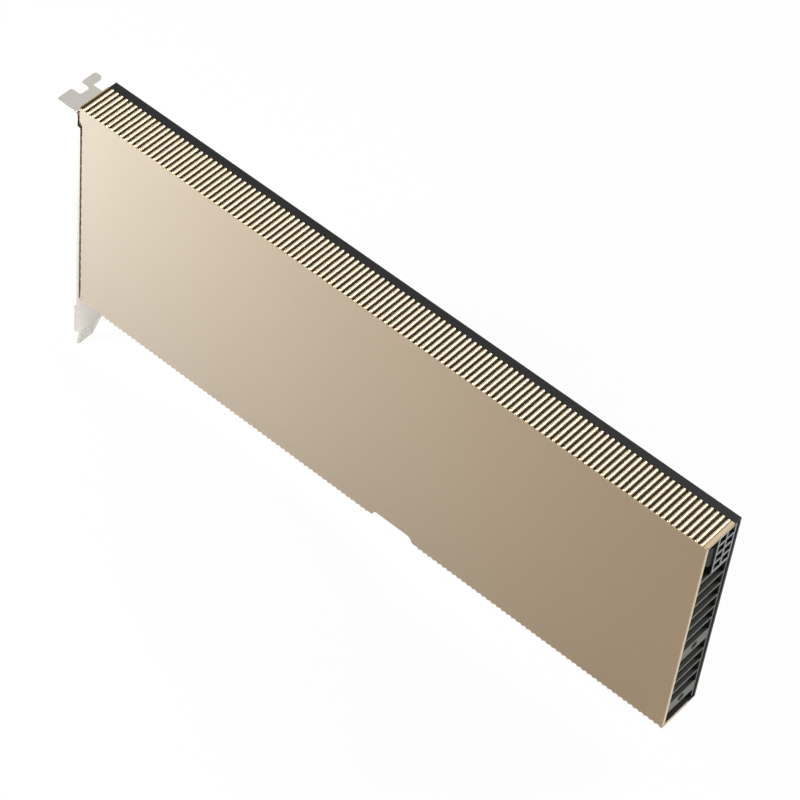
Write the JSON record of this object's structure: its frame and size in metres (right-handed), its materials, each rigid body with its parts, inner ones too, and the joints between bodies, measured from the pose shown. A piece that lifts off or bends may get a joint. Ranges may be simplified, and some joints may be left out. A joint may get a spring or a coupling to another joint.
{
  "type": "passive accelerator card",
  "caption": "Full-height single-slot accelerator card with a fluted gold cover, black back plate, steel bracket, open rear air channels and a power inlet.",
  "frame": {"origin": "middle of the key slot, on the contact edge of the tongue and halfway through the board", "axes": "+X from the bracket to the rear end, +Y from the cover to the back plate, +Z from the contact edge to the upper edge. The card stands as it does in a slot that faces up."},
  "size_m": [0.2756, 0.0184, 0.1231],
  "materials": {
    "front_cover": "gold anodised, fine satin grain",
    "upper_rail": "gold anodised, fine satin grain",
    "lower_rail": "gold anodised, fine satin grain",
    "cover_standoffs": "nickel",
    "back_plate": "black, satin",
    "mounting_bracket": "bright nickel",
    "rear_frame": "dark greenish grey, matt",
    "guide_vanes": "dark greenish grey, matt",
    "frame_bars": "dark greenish grey, matt",
    "power_connector": "black, slightly glossy edges",
    "power_terminals": "gold flash",
    "circuit_board": "dark solder mask",
    "edge_contacts": "hard gold",
    "processor_substrate": "green laminate",
    "package_frame": "nickel",
    "processor_die": "polished silicon",
    "thermal_paste": "grey paste",
    "memory_chips": "moulded",
    "memory_pads": "soft pad",
    "power_stages": "moulded",
    "power_stage_pads": "soft pad",
    "power_inductors": "pressed iron powder",
    "bulk_capacitors": "moulded",
    "control_chips": "moulded",
    "back_capacitors": "ceramic",
    "heatsink_base": "milled",
    "heatsink_fins": "thin sheet",
    "insulating_film": "film",
    "back_spacers": "moulded",
    "board_screws": "black oxide",
    "heatsink_screws": "nickel",
    "bracket_screws": "nickel",
    "frame_screws": "black oxide"
  },
  "bodies": {
    "root": {"front_cover": "front_cover", "upper_rail": "upper_rail", "lower_rail": "lower_rail", "cover_standoffs": "cover_standoffs", "back_plate": "back_plate", "mounting_bracket": "mounting_bracket", "rear_frame": "rear_frame", "guide_vanes": "guide_vanes", "frame_bars": "frame_bars", "power_connector": "power_connector", "power_terminals": "power_terminals", "circuit_board": "circuit_board", "edge_contacts": "edge_contacts", "processor_substrate": "processor_substrate", "package_frame": "package_frame", "processor_die": "processor_die", "thermal_paste": "thermal_paste", "memory_chips": "memory_chips", "memory_pads": "memory_pads", "power_stages": "power_stages", "power_stage_pads": "power_stage_pads", "power_inductors": "power_inductors", "bulk_capacitors": "bulk_capacitors", "control_chips": "control_chips", "back_capacitors": "back_capacitors", "heatsink_base": "heatsink_base", "heatsink_fins": "heatsink_fins", "insulating_film": "insulating_film", "back_spacers": "back_spacers", "board_screws": "board_screws", "heatsink_screws": "heatsink_screws", "bracket_screws": "bracket_screws", "frame_screws": "frame_screws"}
  },
  "joints": []
}
